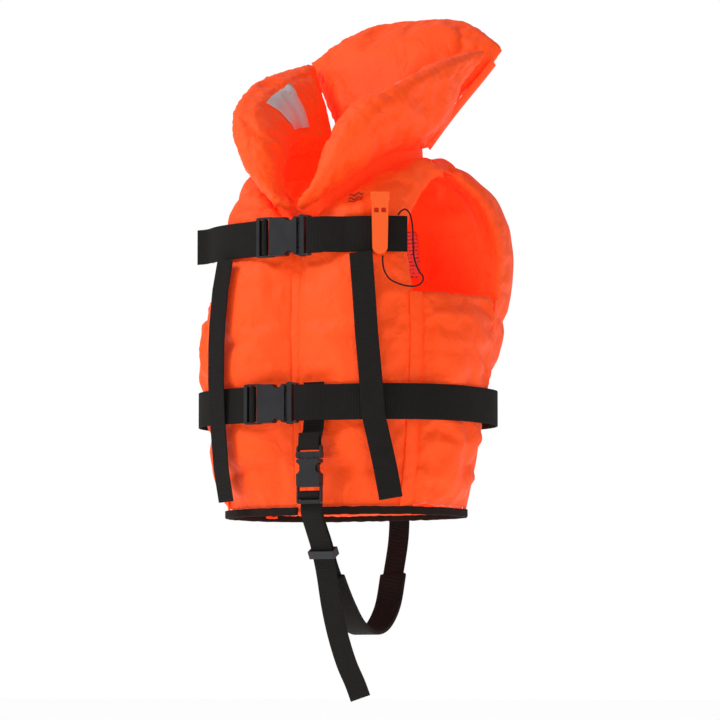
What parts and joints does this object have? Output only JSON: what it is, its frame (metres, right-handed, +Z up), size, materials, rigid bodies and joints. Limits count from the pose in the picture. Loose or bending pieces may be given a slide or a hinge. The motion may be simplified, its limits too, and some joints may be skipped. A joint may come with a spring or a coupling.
{
  "type": "life jacket",
  "caption": "Foam life jacket for a child: padded front and back, collar with head support, side release clasps, belts and a crotch strap.",
  "frame": {"origin": "middle of the wearer's neck, level with the shoulders", "axes": "+Z up, -Y the front of the jacket, +X the wearer's left"},
  "size_m": [0.3334, 0.2987, 0.7652],
  "materials": {
    "orange_fabric": "satin",
    "foam": "matte",
    "binding": "matte",
    "webbing": "matte",
    "buckle_plastic": "satin",
    "whistle_plastic": "gloss",
    "lanyard": "matte",
    "reflector": "satin",
    "label": "satin"
  },
  "bodies": {
    "jacket": {"front_right_cover": "orange_fabric", "front_left_cover": "orange_fabric", "back_cover": "orange_fabric", "front_right_foam": "foam", "front_left_foam": "foam", "back_foam": "foam", "side_gusset_right": "orange_fabric", "side_gusset_left": "orange_fabric", "armhole_elastic_right": "orange_fabric", "armhole_elastic_left": "orange_fabric", "collar_right_cover": "orange_fabric", "collar_left_cover": "orange_fabric", "collar_right_foam": "foam", "collar_left_foam": "foam", "hem_binding": "binding", "upper_belt_right": "webbing", "upper_belt_left": "webbing", "lower_belt": "webbing", "vertical_strap_right": "webbing", "vertical_strap_left": "webbing", "upper_buckle_plug": "buckle_plastic", "lower_buckle_plug": "buckle_plastic", "crotch_buckle_plug": "buckle_plastic", "crotch_drop_strap": "webbing", "crotch_strap": "webbing", "crotch_sleeve": "webbing", "whistle_cord": "lanyard", "reflector_right": "reflector", "reflector_left": "reflector", "back_reflectors": "reflector", "inner_label": "label"},
    "upper_socket": {"upper_buckle_socket": "buckle_plastic"},
    "upper_arm_top": {"upper_prong_top": "buckle_plastic"},
    "upper_arm_bottom": {"upper_prong_bottom": "buckle_plastic"},
    "lower_socket": {"lower_buckle_socket": "buckle_plastic"},
    "lower_arm_top": {"lower_prong_top": "buckle_plastic"},
    "lower_arm_bottom": {"lower_prong_bottom": "buckle_plastic"},
    "crotch_socket": {"crotch_buckle_socket": "buckle_plastic"},
    "crotch_arm_right": {"crotch_prong_right": "buckle_plastic"},
    "crotch_arm_left": {"crotch_prong_left": "buckle_plastic"},
    "head_support": {"head_support_cover": "orange_fabric", "head_support_foam": "foam"},
    "whistle_body": {"whistle": "whistle_plastic"},
    "keeper": {"strap_keeper": "buckle_plastic"}
  },
  "joints": [
    {"name": "upper_clasp_release", "type": "slide", "parent": "jacket", "child": "upper_socket", "axis": [-1, 0, 0], "range_m": [0, 0.035], "deforming": ["upper_belt_right"]},
    {"name": "upper_prong_top_squeeze", "type": "hinge", "parent": "jacket", "child": "upper_arm_top", "pos_m": [0.0167, -0.1243, -0.0826], "axis": [0, -1, 0], "range_deg": [0, 8], "stiffness_Nm_per_rad": 0.2},
    {"name": "upper_prong_bottom_squeeze", "type": "hinge", "parent": "jacket", "child": "upper_arm_bottom", "pos_m": [0.0167, -0.1243, -0.1134], "axis": [0, 1, 0], "range_deg": [0, 8], "stiffness_Nm_per_rad": 0.2},
    {"name": "lower_clasp_release", "type": "slide", "parent": "jacket", "child": "lower_socket", "axis": [-1, 0, 0], "range_m": [0, 0.035], "deforming": ["lower_belt"]},
    {"name": "lower_prong_top_squeeze", "type": "hinge", "parent": "jacket", "child": "lower_arm_top", "pos_m": [0.0037, -0.12763, -0.2606], "axis": [0, -1, 0], "range_deg": [0, 8], "stiffness_Nm_per_rad": 0.2},
    {"name": "lower_prong_bottom_squeeze", "type": "hinge", "parent": "jacket", "child": "lower_arm_bottom", "pos_m": [0.0037, -0.12763, -0.2914], "axis": [0, 1, 0], "range_deg": [0, 8], "stiffness_Nm_per_rad": 0.2},
    {"name": "crotch_clasp_release", "type": "slide", "parent": "jacket", "child": "crotch_socket", "axis": [0, 0, -1], "range_m": [0, 0.026], "deforming": ["crotch_strap"]},
    {"name": "crotch_prong_right_squeeze", "type": "hinge", "parent": "jacket", "child": "crotch_arm_right", "pos_m": [0.0191, -0.12663, -0.3323], "axis": [0, -1, 0], "range_deg": [0, 8], "stiffness_Nm_per_rad": 0.2},
    {"name": "crotch_prong_left_squeeze", "type": "hinge", "parent": "jacket", "child": "crotch_arm_left", "pos_m": [0.0369, -0.12663, -0.3323], "axis": [0, 1, 0], "range_deg": [0, 8], "stiffness_Nm_per_rad": 0.2},
    {"name": "head_support_fold", "type": "hinge", "parent": "jacket", "child": "head_support", "pos_m": [0, 0.084, 0.018], "axis": [-1, 0, 0], "range_deg": [0, 18], "stiffness_Nm_per_rad": 2, "springref_deg": -6.88},
    {"name": "whistle_lift", "type": "slide", "parent": "jacket", "child": "whistle_body", "axis": [0, 0, 1], "range_m": [0, 0.06], "deforming": ["whistle_cord"]},
    {"name": "keeper_slide", "type": "slide", "parent": "jacket", "child": "keeper", "axis": [-0.0455, 0.5005, -0.8645], "range_m": [-0.006, 0.006]}
  ]
}
